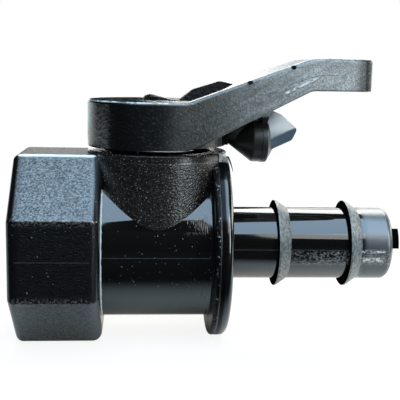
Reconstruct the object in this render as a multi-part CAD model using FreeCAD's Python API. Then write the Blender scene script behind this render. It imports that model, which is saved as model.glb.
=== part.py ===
import FreeCAD, Part
import math
import os
from FreeCAD import Vector

# Mini ball valve for drip line, moulded in black plastic.
# A fixed octagonal socket with a female pipe thread takes the supply. Behind it a short barrel holds a
# ported ball between two seats, and a round tower on the barrel carries the stem. The barrel ends in
# one half of a round flange, and the barbed hose tail, moulded by itself, is welded on with the other half.
# A cranked lever snaps onto the stem and turns the ball through a quarter turn.
#
# The frame is X along the pipe from the inlet face to the hose tail, Z up the stem, in millimetres.
# The origin is the centre of the inlet face. Heights are measured from the pipe's centre line.
# The valve is open, with the lever over the hose tail.

# Fits between the pieces
SEAT_FIT = 0.05
BALL_GAP = 0.06
STEM_FIT = 0.05
ORING_GAP = 0.03
DRIVE_FIT = 0.05
GROOVE_FIT = 0.1
STOP_GAP_DEG = 0.6
COLLAR_GAP = 0.15

# Inlet socket, with room for a G 3/4 male thread
THREAD_MAJOR_RADIUS = 13.22
THREAD_LENGTH = 10.6
THREAD_LEAD_IN = 0.7
SOCKET_WALL = 2.38
SOCKET_ACROSS_FLATS = 2 * (THREAD_MAJOR_RADIUS + SOCKET_WALL)
SOCKET_SIDES = 8
SOCKET_LENGTH = 14.2
SOCKET_EDGE_ROUND = 0.5
SOCKET_MOUTH_ROUND = 1.3
SOCKET_BACK_ROUND = 1.5
GASKET_THICKNESS = 1.8
GASKET_RECESS_DEPTH = 2.0
GASKET_LEDGE = 0.62
GASKET_RECESS_RADIUS = THREAD_MAJOR_RADIUS - GASKET_LEDGE
GASKET_WIDTH = 4.2
INLET_WALL = 2.0

# Flange, barrel and cavity. The flange is as high as the socket, so that the valve lies level
FLANGE_PROUD = 0.3
FLANGE_RADIUS = SOCKET_ACROSS_FLATS / 2 + FLANGE_PROUD
FLANGE_RIM = 3.4
BODY_FLANGE_THICKNESS = 0.85
BODY_FLANGE_ROUND = 0.55
JOINT_EDGE_ROUND = 0.22
BARREL_RADIUS = FLANGE_RADIUS - FLANGE_RIM
BARREL_ROOT_ROUND = 0.5
BARREL_WALL = 2.8
CAVITY_RADIUS = BARREL_RADIUS - BARREL_WALL

# Ball, flow passage and seats
BALL_ROOM = 0.8
BALL_RADIUS = CAVITY_RADIUS - BALL_ROOM
BALL_WALL = 4.3
FLOW_RADIUS = BALL_RADIUS - BALL_WALL
BALL_PORT_ROUND = 0.35
SEAT_THICKNESS = 3.0
SEAT_FROM_POLE = 3.3
SEAT_TO_BALL_CENTRE = BALL_RADIUS - SEAT_FROM_POLE
SEAT_HOLE_MARGIN = 0.4
SEAT_HOLE_RADIUS = FLOW_RADIUS + SEAT_HOLE_MARGIN
SLOT_WIDTH = 2.8
SLOT_ABOVE_PORT = 1.7
SLOT_FLOOR_HEIGHT = FLOW_RADIUS + SLOT_ABOVE_PORT

# Hose tail and its half of the flange
TAIL_WALL = 1.6
TAIL_RADIUS = FLOW_RADIUS + TAIL_WALL
TAIL_LENGTH = 28.55
TAIL_END_ROUND = 1.2
TAIL_MOUTH_ROUND = 0.3
TAIL_ROOT_ROUND = 0.5
TAIL_FLANGE_THICKNESS = 2.05
TAIL_FLANGE_ROUND = 1.1
SPIGOT_LENGTH = 1.2
WELD_TONGUE_SET_OUT = 0.1
WELD_TONGUE_INNER_RADIUS = BARREL_RADIUS + WELD_TONGUE_SET_OUT
WELD_TONGUE_WIDTH = 1.3
WELD_TONGUE_HEIGHT = 0.9
WELD_TONGUE_ROOT = BODY_FLANGE_THICKNESS / 2
BARB_HEIGHT = 1.25
BARB_LIP = 0.3
BARB_WIDTH = 2.15
BARB_COUNT = 2
FIRST_BARB_FROM_FLANGE = 8.6
BARB_PITCH = 12.2
GATE_LENGTH = 0.9
GATE_FROM_RIM = 0.6
GATE_OUTER_RADIUS = TAIL_RADIUS - GATE_FROM_RIM
GATE_WIDTH = 0.7
GATE_LOW_DEG = 2.0
GATE_HIGH_DEG = 38.0

# Tower for the stem, with a groove in its top for the lever's stop tab
TOWER_SET_IN = 0.8
TOWER_RADIUS = BARREL_RADIUS - TOWER_SET_IN
TOWER_RISE = 3.62
TOWER_TOP_HEIGHT = BARREL_RADIUS + TOWER_RISE
TOWER_TOP_ROUND = 0.3
STEM_RADIUS = 4.0
TOWER_GROOVE_DEPTH = 4.4
TOWER_INNER_WALL = 2.2
TOWER_OUTER_WALL = 2.7
TOWER_GROOVE_INNER_RADIUS = STEM_RADIUS + TOWER_INNER_WALL
TOWER_GROOVE_OUTER_RADIUS = TOWER_RADIUS - TOWER_OUTER_WALL

# Stem
STEM_COLLAR_ABOVE_BALL = 0.2
STEM_COLLAR_BOTTOM_HEIGHT = BALL_RADIUS + STEM_COLLAR_ABOVE_BALL
STEM_COLLAR_THICKNESS = 1.5
STEM_COLLAR_PROUD = 1.5
STEM_COLLAR_RADIUS = STEM_RADIUS + STEM_COLLAR_PROUD
TONGUE_PLAY = 0.2
TONGUE_WIDTH = SLOT_WIDTH - TONGUE_PLAY
TONGUE_LENGTH = 7.6
TONGUE_FLOOR_GAP = 0.25
ORING_CORD = 1.3
ORING_GROOVE_WIDTH = 1.7
UPPER_GROOVE_BELOW_TOWER_TOP = 1.45
GROOVE_PITCH = 2.4
ORING_COUNT = 2
DRIVE_SIDE = 5.6
SNAP_NECK_RADIUS = 1.9
SNAP_HEAD_RADIUS = 2.35
SNAP_HEAD_HEIGHT = 1.75
SNAP_HEAD_TAPER = 0.4
SNAP_HEAD_FALL = 0.9
SNAP_HEAD_INLET_FALL = 0.25
SNAP_HEAD_CREST_RUN = 1.0
SNAP_SLOT_WIDTH = 0.7
SNAP_SLOT_DEPTH = 3.25
SNAP_SLOT_TURN_DEG = 45.0

# Lever handle
HUB_RADIUS = TOWER_RADIUS
HUB_GAP = 0.6
HUB_HEIGHT = 7.73
HUB_WALL = 1.9
HUB_SKIRT_SET_IN = 0.2
HUB_SKIRT_RADIUS = HUB_RADIUS - HUB_SKIRT_SET_IN
HUB_SKIRT_RISE = 0.45
HUB_TOP_SKIN = 2.0
HUB_BOSS_WALL = 2.3
HUB_BOSS_RADIUS = DRIVE_SIDE / 2 + HUB_BOSS_WALL
HUB_RIB_COUNT = 6
HUB_RIB_THICKNESS = 1.2
STEM_HEAD_RECESS_MARGIN = 0.95
STEM_HEAD_RECESS_RADIUS = SNAP_HEAD_RADIUS + STEM_HEAD_RECESS_MARGIN
STEM_HEAD_RECESS_DEPTH = 0.8
SNAP_SHOULDER_THICKNESS = 1.6
LEVER_BEYOND_HUB = 24.1
LEVER_REACH = HUB_RADIUS + LEVER_BEYOND_HUB
LEVER_GRIP_LENGTH = 10.8
LEVER_END_HALF_WIDTH = 4.4
LEVER_END_THICKNESS = 5.35
LEVER_END_ROUND = 2.4
LEVER_END_LEAST_ROUND = 0.4
LEVER_RISE = 7.45
LEVER_RISE_IN_HUB = 7.3
LEVER_RISE_START = HUB_RADIUS - LEVER_RISE_IN_HUB
LEVER_UNDER_LAG = 0.4
LEVER_TOP_BEND = 9.0
LEVER_UNDER_BEND = 3.0
LEVER_ROOT_TOP_BEND = 3.0
LEVER_ROOT_UNDER_BEND = 8.0
LEVER_EDGE_ROUND = 0.55
LEVER_LOWER_EDGE_ROUND = 0.25
LEVER_SKIN = 1.9
LEVER_WALL = 1.8
LEVER_RIB_THICKNESS = 1.3
TOP_POCKET_BEYOND_HUB = 0.9
TOP_POCKET_RADIUS = HUB_RADIUS + TOP_POCKET_BEYOND_HUB
TOP_POCKET_RIM = 1.8
POCKET_WALL = 1.4
UNDER_POCKET_START = TOP_POCKET_RADIUS + POCKET_WALL

# Rib along the middle of the top pocket. Its heights are measured from the hub's top
TOP_RIB_FROM_RECESS = 0.1
TOP_RIB_START = STEM_HEAD_RECESS_RADIUS + TOP_RIB_FROM_RECESS
TOP_RIB_SHOULDER_RUN = 2.4
TOP_RIB_SHOULDER_RISE = 1.9
TOP_RIB_CREST_RUN = 6.9
TOP_RIB_CREST_RISE = 3.35
TOP_RIB_END_RISE = 2.8
TOP_RIB_ROUND = 1.2
TOP_RIB_THICKNESS = 2.2

# Finger lug under the lever. Its heights are measured from its own axis
LUG_AXIS_RISE = 1.28
LUG_START_IN_HUB = 0.2
LUG_START = HUB_RADIUS - LUG_START_IN_HUB
LUG_START_RADIUS = 0.3
LUG_FLARE_LENGTH = 4.55
LUG_FLARE_END = LUG_START + LUG_FLARE_LENGTH
LUG_RADIUS = 3.75
LUG_FLARE_ROUND = 0.4
LUG_NECK_LENGTH = 1.5
LUG_COLLAR_START = LUG_FLARE_END + LUG_NECK_LENGTH
LUG_COLLAR_THICKNESS = 0.95
LUG_COLLAR_PROUD = 0.1
LUG_COLLAR_ROUND = 0.3
LUG_COLLAR_FOOT = 0.05
LUG_BACK = LUG_COLLAR_START + LUG_COLLAR_THICKNESS
LUG_DOME = 1.25
LUG_DOME_RADIUS = 1.6
LUG_WEB_THICKNESS = 3.2
LUG_ROOT_RISE = HUB_SKIRT_RISE

# Nose behind the lug's collar. Its side view is measured from the collar's back and the lug's axis
LUG_NOSE_TOP = 5.4
LUG_NOSE_SHOULDER_RUN = 2.35
LUG_NOSE_SHOULDER_RISE = 4.45
LUG_NOSE_TIP_RUN = 5.3
LUG_NOSE_TIP_RISE = 1.95
LUG_NOSE_UNDER_RUN = 4.4
LUG_NOSE_UNDER_RISE = 0.1
LUG_NOSE_KEEL = -1.75
LUG_NOSE_ROUND = 0.7
LUG_NOSE_PITCH_DEG = 22.8
LUG_NOSE_LENGTH = 6.6
LUG_NOSE_KEEL_HALF_WIDTH = 2.6
LUG_NOSE_EDGE_RISE = 1.75
LUG_NOSE_EDGE_HALF_WIDTH = 3.8
LUG_NOSE_RIDGE_RISE = 7.6
LUG_NOSE_RIDGE_HALF_WIDTH = 2.2
LUG_NOSE_TAPER = 0.3
LUG_NOSE_TIP_ROUND = 0.5

# Travel stop: a tab under the hub runs between two ribs in the tower
TRAVEL_DEG = 90.0
STOP_TAB_CENTRE_DEG = 225.0
STOP_TAB_SPAN_DEG = 24.0
STOP_RIB_SPAN_DEG = 12.0
STOP_TAB_FLOOR_GAP = 1.2
STOP_TAB_DEPTH = TOWER_GROOVE_DEPTH - STOP_TAB_FLOOR_GAP

# Places that follow from the sizes
SOCKET_DEPTH = THREAD_LENGTH + GASKET_RECESS_DEPTH
CAVITY_START = SOCKET_DEPTH + INLET_WALL
BALL_X = CAVITY_START + SEAT_THICKNESS + SEAT_TO_BALL_CENTRE
SPIGOT_X = BALL_X + SEAT_TO_BALL_CENTRE + SEAT_THICKNESS
JOINT_X = SPIGOT_X + SPIGOT_LENGTH
BODY_FLANGE_X = JOINT_X - BODY_FLANGE_THICKNESS
TAIL_ROOT_X = JOINT_X + TAIL_FLANGE_THICKNESS
TAIL_END_X = TAIL_ROOT_X + TAIL_LENGTH
COLLAR_TOP_HEIGHT = STEM_COLLAR_BOTTOM_HEIGHT + STEM_COLLAR_THICKNESS
TOWER_GROOVE_FLOOR_HEIGHT = TOWER_TOP_HEIGHT - TOWER_GROOVE_DEPTH
HUB_BOTTOM_HEIGHT = TOWER_TOP_HEIGHT + HUB_GAP
HUB_TOP_HEIGHT = HUB_BOTTOM_HEIGHT + HUB_HEIGHT
STEM_HEAD_SEAT_HEIGHT = HUB_TOP_HEIGHT - STEM_HEAD_RECESS_DEPTH
DRIVE_TOP_HEIGHT = STEM_HEAD_SEAT_HEIGHT - SNAP_SHOULDER_THICKNESS
LEVER_TOP_HEIGHT = HUB_TOP_HEIGHT + LEVER_RISE
LEVER_BOTTOM_HEIGHT = LEVER_TOP_HEIGHT - LEVER_END_THICKNESS
LEVER_RISE_END = LEVER_REACH - LEVER_GRIP_LENGTH
LUG_AXIS_HEIGHT = HUB_BOTTOM_HEIGHT + LUG_AXIS_RISE
BIG = 60.0
OVERLAP = 0.5
WALL_SLOPE = 0.05
TOP_SLOPE = 0.3


def cylinder_x(x_start, x_end, radius):
    return Part.makeCylinder(radius, x_end - x_start, Vector(x_start, 0, 0), Vector(1, 0, 0))


def cylinder_z(z_start, z_end, radius):
    """A cylinder on the stem's axis."""
    return Part.makeCylinder(radius, z_end - z_start, Vector(BALL_X, 0, z_start), Vector(0, 0, 1))


def box(x_range, y_range, z_range):
    low = Vector(x_range[0], y_range[0], z_range[0])
    return Part.makeBox(
        x_range[1] - x_range[0], y_range[1] - y_range[0], z_range[1] - z_range[0], low
    )


def revolve_x(profile):
    """A solid turned about the pipe's axis from (x, radius) points, each with an optional corner round."""
    corners = [(p[0], p[1], p[2] if len(p) > 2 else 0.0) for p in profile]
    wire = rounded_wire(corners, lambda x, r: Vector(x, 0, r))
    return Part.Face(wire).revolve(Vector(0, 0, 0), Vector(1, 0, 0), 360)


def rounded_wire(corners, place):
    """A closed wire through (a, b, round) corners, with a tangent arc at each corner that has a round."""
    points = [Vector(a, b, 0) for a, b, _ in corners]
    edges = []
    starts, ends, middles = [], [], []
    for i, (_, _, rounding) in enumerate(corners):
        here = points[i]
        back = (points[i - 1] - here).normalize()
        ahead = (points[(i + 1) % len(points)] - here).normalize()
        half = math.acos(max(-1.0, min(1.0, back.dot(ahead)))) / 2
        if rounding <= 0:
            starts.append(here)
            ends.append(here)
            middles.append(None)
            continue
        run = rounding / math.tan(half)
        bisector = (back + ahead).normalize()
        centre = here + bisector * (rounding / math.sin(half))
        starts.append(here + back * run)
        ends.append(here + ahead * run)
        middles.append(centre - bisector * rounding)
    for i in range(len(points)):
        if middles[i] is not None:
            arc = Part.Arc(*[place(p.x, p.y) for p in (starts[i], middles[i], ends[i])])
            edges.append(arc.toShape())
        following = starts[(i + 1) % len(points)]
        if (following - ends[i]).Length > 1e-6:
            line = Part.LineSegment(*[place(p.x, p.y) for p in (ends[i], following)])
            edges.append(line.toShape())
    return Part.Wire(edges)


def ring_sector(inner, outer, z_range, centre_deg, span_deg):
    """A piece of a ring about the stem's axis, centred on an angle from the hose side."""
    ring = Part.makeCylinder(
        outer, z_range[1] - z_range[0], Vector(0, 0, z_range[0]), Vector(0, 0, 1), span_deg
    )
    ring = ring.cut(Part.makeCylinder(inner, z_range[1] - z_range[0], Vector(0, 0, z_range[0])))
    ring.rotate(Vector(0, 0, 0), Vector(0, 0, 1), centre_deg - span_deg / 2)
    ring.translate(Vector(BALL_X, 0, 0))
    return ring


def edges_where(shape, test):
    return [e for e in shape.Edges if test(e)]


def spread(edge, axis):
    """The lowest and highest coordinate of an edge along one axis."""
    box_of_edge = edge.BoundBox
    return {
        "x": (box_of_edge.XMin, box_of_edge.XMax),
        "z": (box_of_edge.ZMin, box_of_edge.ZMax),
    }[axis]


def lies_at(edge, axis, value):
    low, high = spread(edge, axis)
    return abs(low - value) < 1e-4 and abs(high - value) < 1e-4


def octagonal_socket():
    corner_radius = SOCKET_ACROSS_FLATS / 2 / math.cos(math.pi / SOCKET_SIDES)
    corners = []
    for i in range(SOCKET_SIDES + 1):
        angle = 2 * math.pi * (i + 0.5) / SOCKET_SIDES
        corners.append(Vector(0, corner_radius * math.cos(angle), corner_radius * math.sin(angle)))
    prism = Part.Face(Part.makePolygon(corners)).extrude(Vector(SOCKET_LENGTH, 0, 0))
    long_edges = edges_where(prism, lambda e: spread(e, "x")[1] - spread(e, "x")[0] > SOCKET_LENGTH / 2)
    prism = prism.makeFillet(SOCKET_EDGE_ROUND, long_edges)
    prism = prism.makeFillet(SOCKET_MOUTH_ROUND, edges_where(prism, lambda e: lies_at(e, "x", 0)))
    return prism.makeFillet(
        SOCKET_BACK_ROUND, edges_where(prism, lambda e: lies_at(e, "x", SOCKET_LENGTH))
    )


def body():
    """Socket, barrel, tower and the inlet half of the flange, moulded as one."""
    barrel = revolve_x([
        (SOCKET_LENGTH - OVERLAP, 0),
        (JOINT_X, 0),
        (JOINT_X, FLANGE_RADIUS, JOINT_EDGE_ROUND),
        (BODY_FLANGE_X, FLANGE_RADIUS, BODY_FLANGE_ROUND),
        (BODY_FLANGE_X, BARREL_RADIUS, BARREL_ROOT_ROUND),
        (SOCKET_LENGTH - OVERLAP, BARREL_RADIUS),
    ])
    tower = cylinder_z(0, TOWER_TOP_HEIGHT, TOWER_RADIUS)
    tower = tower.makeFillet(
        TOWER_TOP_ROUND, edges_where(tower, lambda e: lies_at(e, "z", TOWER_TOP_HEIGHT))
    )
    tower = tower.common(box((0, JOINT_X), (-BIG, BIG), (-BIG, BIG)))
    solid = octagonal_socket().fuse(barrel).fuse(tower)

    thread_bore = revolve_x([
        (-OVERLAP, 0),
        (-OVERLAP, THREAD_MAJOR_RADIUS + THREAD_LEAD_IN + OVERLAP),
        (THREAD_LEAD_IN, THREAD_MAJOR_RADIUS),
        (THREAD_LENGTH, THREAD_MAJOR_RADIUS),
        (THREAD_LENGTH, GASKET_RECESS_RADIUS),
        (SOCKET_DEPTH, GASKET_RECESS_RADIUS),
        (SOCKET_DEPTH, 0),
    ])
    flow_bore = cylinder_x(SOCKET_DEPTH - OVERLAP, CAVITY_START + OVERLAP, FLOW_RADIUS)
    cavity = cylinder_x(CAVITY_START, JOINT_X + OVERLAP, CAVITY_RADIUS)
    collar_recess = cylinder_z(0, COLLAR_TOP_HEIGHT + COLLAR_GAP, STEM_COLLAR_RADIUS + STEM_FIT)
    stem_bore = cylinder_z(0, TOWER_TOP_HEIGHT + OVERLAP, STEM_RADIUS + STEM_FIT)
    solid = solid.cut(thread_bore).cut(flow_bore).cut(cavity).cut(collar_recess).cut(stem_bore)
    solid = solid.cut(stop_groove()).fuse(weld_ring(0))
    return solid.removeSplitter()


def stop_groove():
    """The ring-shaped groove in the tower's top, less the two ribs that stop the lever."""
    groove = cylinder_z(TOWER_GROOVE_FLOOR_HEIGHT, TOWER_TOP_HEIGHT + OVERLAP, TOWER_GROOVE_OUTER_RADIUS)
    groove = groove.cut(
        cylinder_z(TOWER_GROOVE_FLOOR_HEIGHT, TOWER_TOP_HEIGHT + OVERLAP, TOWER_GROOVE_INNER_RADIUS)
    )
    rib_offset = STOP_TAB_SPAN_DEG / 2 + STOP_GAP_DEG + STOP_RIB_SPAN_DEG / 2
    heights = (TOWER_GROOVE_FLOOR_HEIGHT - OVERLAP, TOWER_TOP_HEIGHT)
    reach = (TOWER_GROOVE_INNER_RADIUS - OVERLAP, TOWER_GROOVE_OUTER_RADIUS + OVERLAP)
    for centre in (STOP_TAB_CENTRE_DEG + rib_offset, STOP_TAB_CENTRE_DEG - TRAVEL_DEG - rib_offset):
        groove = groove.cut(ring_sector(*reach, heights, centre, STOP_RIB_SPAN_DEG))
    return groove


def weld_ring(clearance):
    """The tongue on the body's flange, or with a clearance the groove in the tail's flange."""
    inner = WELD_TONGUE_INNER_RADIUS - clearance
    outer = WELD_TONGUE_INNER_RADIUS + WELD_TONGUE_WIDTH + clearance
    start = JOINT_X - WELD_TONGUE_ROOT
    end = JOINT_X + WELD_TONGUE_HEIGHT + clearance
    return cylinder_x(start, end, outer).cut(cylinder_x(start, end, inner))


def hose_tail():
    """The welded-on half of the flange with the barbed hose tail."""
    profile = [
        (SPIGOT_X, FLOW_RADIUS),
        (SPIGOT_X, CAVITY_RADIUS - SEAT_FIT),
        (JOINT_X, CAVITY_RADIUS - SEAT_FIT),
        (JOINT_X, FLANGE_RADIUS, JOINT_EDGE_ROUND),
        (TAIL_ROOT_X, FLANGE_RADIUS, TAIL_FLANGE_ROUND),
        (TAIL_ROOT_X, TAIL_RADIUS, TAIL_ROOT_ROUND),
    ]
    for i in range(BARB_COUNT):
        step = TAIL_ROOT_X + FIRST_BARB_FROM_FLANGE + i * BARB_PITCH
        profile += [
            (step, TAIL_RADIUS),
            (step, TAIL_RADIUS + BARB_HEIGHT),
            (step + BARB_LIP, TAIL_RADIUS + BARB_HEIGHT),
            (step + BARB_WIDTH, TAIL_RADIUS),
        ]
    profile += [
        (TAIL_END_X, TAIL_RADIUS, TAIL_END_ROUND),
        (TAIL_END_X, FLOW_RADIUS, TAIL_MOUTH_ROUND),
    ]
    solid = revolve_x(profile)
    cap = cylinder_z(CAVITY_RADIUS, TOWER_TOP_HEIGHT, TOWER_RADIUS)
    cap = cap.makeFillet(TOWER_TOP_ROUND, edges_where(cap, lambda e: lies_at(e, "z", TOWER_TOP_HEIGHT)))
    cap = cap.common(box((JOINT_X, JOINT_X + BIG), (-BIG, BIG), (0, BIG)))
    return solid.fuse(cap).fuse(gate_mark()).cut(weld_ring(GROOVE_FIT)).removeSplitter()


def gate_mark():
    """The broken-off moulding gate on the tail's mouth, between two angles up from the -Y side."""
    start = TAIL_END_X - OVERLAP
    length = GATE_LENGTH + OVERLAP
    span = GATE_HIGH_DEG - GATE_LOW_DEG
    mark = Part.makeCylinder(GATE_OUTER_RADIUS, length, Vector(0, 0, 0), Vector(0, 0, 1), span)
    mark = mark.cut(Part.makeCylinder(GATE_OUTER_RADIUS - GATE_WIDTH, length))
    middle = math.radians((GATE_HIGH_DEG + GATE_LOW_DEG) / 2)
    turned = math.degrees(math.atan2(-math.cos(middle), -math.sin(middle)))
    mark.rotate(Vector(0, 0, 0), Vector(0, 0, 1), turned - span / 2)
    mark.rotate(Vector(0, 0, 0), Vector(0, 1, 0), 90)
    mark.translate(Vector(start, 0, 0))
    return mark


def ball():
    sphere = Part.makeSphere(BALL_RADIUS, Vector(BALL_X, 0, 0))
    port = cylinder_x(BALL_X - BALL_RADIUS, BALL_X + BALL_RADIUS, FLOW_RADIUS)
    slot = box(
        (BALL_X - SLOT_WIDTH / 2, BALL_X + SLOT_WIDTH / 2), (-BIG, BIG), (SLOT_FLOOR_HEIGHT, BIG)
    )
    ported = sphere.cut(port)
    mouth = math.sqrt(BALL_RADIUS ** 2 - FLOW_RADIUS ** 2)
    mouth_edges = edges_where(
        ported, lambda e: lies_at(e, "x", BALL_X - mouth) or lies_at(e, "x", BALL_X + mouth)
    )
    return ported.makeFillet(BALL_PORT_ROUND, mouth_edges).cut(slot)


def seat(side):
    """A seal ring on the inlet side (-1) or the outlet side (+1) of the ball."""
    near = BALL_X + side * SEAT_TO_BALL_CENTRE
    far = near + side * SEAT_THICKNESS
    ring = cylinder_x(min(near, far), max(near, far), CAVITY_RADIUS - SEAT_FIT)
    ring = ring.cut(cylinder_x(min(near, far), max(near, far), SEAT_HOLE_RADIUS))
    return ring.cut(Part.makeSphere(BALL_RADIUS + BALL_GAP, Vector(BALL_X, 0, 0)))


def gasket():
    start = SOCKET_DEPTH - GASKET_THICKNESS
    ring = cylinder_x(start, SOCKET_DEPTH, GASKET_RECESS_RADIUS - SEAT_FIT)
    return ring.cut(cylinder_x(start, SOCKET_DEPTH, GASKET_RECESS_RADIUS - GASKET_WIDTH))


def oring_heights():
    """Heights of the stem's seals, from the lowest up."""
    upper = TOWER_TOP_HEIGHT - UPPER_GROOVE_BELOW_TOWER_TOP
    return [upper - i * GROOVE_PITCH for i in reversed(range(ORING_COUNT))]


def oring_outer_radius():
    return STEM_RADIUS + STEM_FIT - ORING_GAP


def oring(height):
    centre_radius = oring_outer_radius() - ORING_CORD / 2
    return Part.makeTorus(centre_radius, ORING_CORD / 2, Vector(BALL_X, 0, height), Vector(0, 0, 1))


def stem():
    """Tongue, collar, sealed shaft, square drive and a split snap head."""
    head_top = STEM_HEAD_SEAT_HEIGHT + SNAP_HEAD_HEIGHT
    collar = cylinder_z(STEM_COLLAR_BOTTOM_HEIGHT, COLLAR_TOP_HEIGHT, STEM_COLLAR_RADIUS)
    shaft = cylinder_z(STEM_COLLAR_BOTTOM_HEIGHT, DRIVE_TOP_HEIGHT, STEM_RADIUS)
    square = box(
        (BALL_X - DRIVE_SIDE / 2, BALL_X + DRIVE_SIDE / 2),
        (-DRIVE_SIDE / 2, DRIVE_SIDE / 2),
        (STEM_COLLAR_BOTTOM_HEIGHT, DRIVE_TOP_HEIGHT),
    )
    below_drive = cylinder_z(STEM_COLLAR_BOTTOM_HEIGHT, TOWER_TOP_HEIGHT, BIG)
    shaft = shaft.common(square.fuse(below_drive))
    neck = cylinder_z(DRIVE_TOP_HEIGHT, head_top, SNAP_NECK_RADIUS)
    head = cylinder_z(STEM_HEAD_SEAT_HEIGHT, head_top, SNAP_HEAD_RADIUS)
    top_edge = edges_where(head, lambda e: lies_at(e, "z", head_top))
    head = head.makeChamfer(SNAP_HEAD_TAPER, top_edge)
    tongue = box(
        (BALL_X - TONGUE_WIDTH / 2, BALL_X + TONGUE_WIDTH / 2),
        (-TONGUE_LENGTH / 2, TONGUE_LENGTH / 2),
        (SLOT_FLOOR_HEIGHT + TONGUE_FLOOR_GAP, STEM_COLLAR_BOTTOM_HEIGHT + OVERLAP),
    )
    solid = collar.fuse(shaft).fuse(neck).fuse(head).fuse(tongue).cut(above_head(head_top))
    groove_floor = oring_outer_radius() - ORING_CORD
    for height in oring_heights():
        groove = (height - ORING_GROOVE_WIDTH / 2, height + ORING_GROOVE_WIDTH / 2)
        solid = solid.cut(cylinder_z(*groove, BIG).cut(cylinder_z(*groove, groove_floor)))
    slot_heights = (head_top - SNAP_SLOT_DEPTH, head_top + OVERLAP)
    half_slot = SNAP_SLOT_WIDTH / 2
    reach = STEM_RADIUS
    cross = box((BALL_X - half_slot, BALL_X + half_slot), (-reach, reach), slot_heights)
    cross = cross.fuse(box((BALL_X - reach, BALL_X + reach), (-half_slot, half_slot), slot_heights))
    cross.rotate(Vector(BALL_X, 0, 0), Vector(0, 0, 1), SNAP_SLOT_TURN_DEG)
    return solid.cut(cross).removeSplitter()


def above_head(head_top):
    """What is taken off the snap head, whose top falls a little to the inlet and more to the hose side."""
    corners = [
        Vector(BALL_X - SNAP_HEAD_RADIUS, -BIG, head_top - SNAP_HEAD_INLET_FALL),
        Vector(BALL_X - SNAP_HEAD_RADIUS + SNAP_HEAD_CREST_RUN, -BIG, head_top),
        Vector(BALL_X + SNAP_HEAD_RADIUS, -BIG, head_top - SNAP_HEAD_FALL),
        Vector(BALL_X + SNAP_HEAD_RADIUS, -BIG, head_top + OVERLAP),
        Vector(BALL_X - SNAP_HEAD_RADIUS, -BIG, head_top + OVERLAP),
    ]
    return Part.Face(Part.makePolygon(corners + corners[:1])).extrude(Vector(0, 2 * BIG, 0))


def lever_plan(inset, low, high):
    """An upright prism of the lever's plan, the hub's circle and the tapered arm, moved in by an inset."""
    hub = HUB_RADIUS - inset
    corner = Vector(LEVER_REACH - inset, LEVER_END_HALF_WIDTH - inset, 0)
    touch = math.atan2(corner.y, corner.x) + math.acos(hub / corner.Length)
    touch_x = hub * math.cos(touch)
    touch_y = hub * math.sin(touch)
    rounding = max(LEVER_END_ROUND - inset, LEVER_END_LEAST_ROUND)
    arm = rounded_wire(
        [
            (touch_x, -touch_y, 0),
            (corner.x, -corner.y, rounding),
            (corner.x, corner.y, rounding),
            (touch_x, touch_y, 0),
        ],
        lambda a, b: Vector(BALL_X + a, b, low),
    )
    prism = Part.Face(arm).extrude(Vector(0, 0, high - low))
    return prism.fuse(cylinder_z(low, high, hub)).removeSplitter()


def lever_profile(skin, floor):
    """The cranked side view as a face: the top line lowered by skin, closed by the under line or a floor."""
    top = [
        (LEVER_REACH + OVERLAP, LEVER_TOP_HEIGHT - skin, 0),
        (LEVER_RISE_END, LEVER_TOP_HEIGHT - skin, LEVER_TOP_BEND),
        (LEVER_RISE_START, HUB_TOP_HEIGHT - skin, LEVER_ROOT_TOP_BEND),
        (-HUB_RADIUS - OVERLAP, HUB_TOP_HEIGHT - skin, 0),
    ]
    under = [
        (-HUB_RADIUS - OVERLAP, HUB_BOTTOM_HEIGHT, 0),
        (LEVER_RISE_START + LEVER_UNDER_LAG, HUB_BOTTOM_HEIGHT, LEVER_ROOT_UNDER_BEND),
        (LEVER_RISE_END, LEVER_BOTTOM_HEIGHT, LEVER_UNDER_BEND),
        (LEVER_REACH + OVERLAP, LEVER_BOTTOM_HEIGHT, 0),
    ]
    if floor is not None:
        under = [(-HUB_RADIUS - OVERLAP, floor, 0), (LEVER_REACH + OVERLAP, floor, 0)]
    return Part.Face(rounded_wire(top + under, lambda a, b: Vector(BALL_X + a, -BIG, b)))


def outline_edges(solid, up):
    """Edges between an upright wall and a face that looks up (+1) or down (-1)."""
    found = []
    for edge in solid.Edges:
        middle = edge.valueAt((edge.FirstParameter + edge.LastParameter) / 2)
        faces = solid.ancestorsOfType(edge, Part.Face)
        slopes = sorted(up * face.normalAt(*face.Surface.parameter(middle)).z for face in faces)
        if len(slopes) == 2 and abs(slopes[0]) < WALL_SLOPE and slopes[1] > TOP_SLOPE:
            found.append(edge)
    return found


def lever_solid():
    """The lever's outer form, with its rounded edges."""
    side = lever_profile(0, None).extrude(Vector(0, 2 * BIG, 0))
    solid = side.common(lever_plan(0, 0, BIG)).removeSplitter()
    solid = solid.makeFillet(LEVER_EDGE_ROUND, outline_edges(solid, 1))
    return solid.makeFillet(LEVER_LOWER_EDGE_ROUND, outline_edges(solid, -1))


def under_pocket():
    """The hollow under the arm, open downwards, on both sides of a middle rib."""
    floor = HUB_BOTTOM_HEIGHT - BIG / 2
    hollow = lever_profile(LEVER_SKIN, floor).extrude(Vector(0, 2 * BIG, 0))
    hollow = hollow.common(lever_plan(LEVER_WALL, 0, BIG))
    start = BALL_X + UNDER_POCKET_START
    hollow = hollow.common(box((start, start + BIG), (-BIG, BIG), (0, BIG)))
    rib = box(
        (start - OVERLAP, start + BIG), (-LEVER_RIB_THICKNESS / 2, LEVER_RIB_THICKNESS / 2), (0, BIG)
    )
    return hollow.cut(rib)


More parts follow.
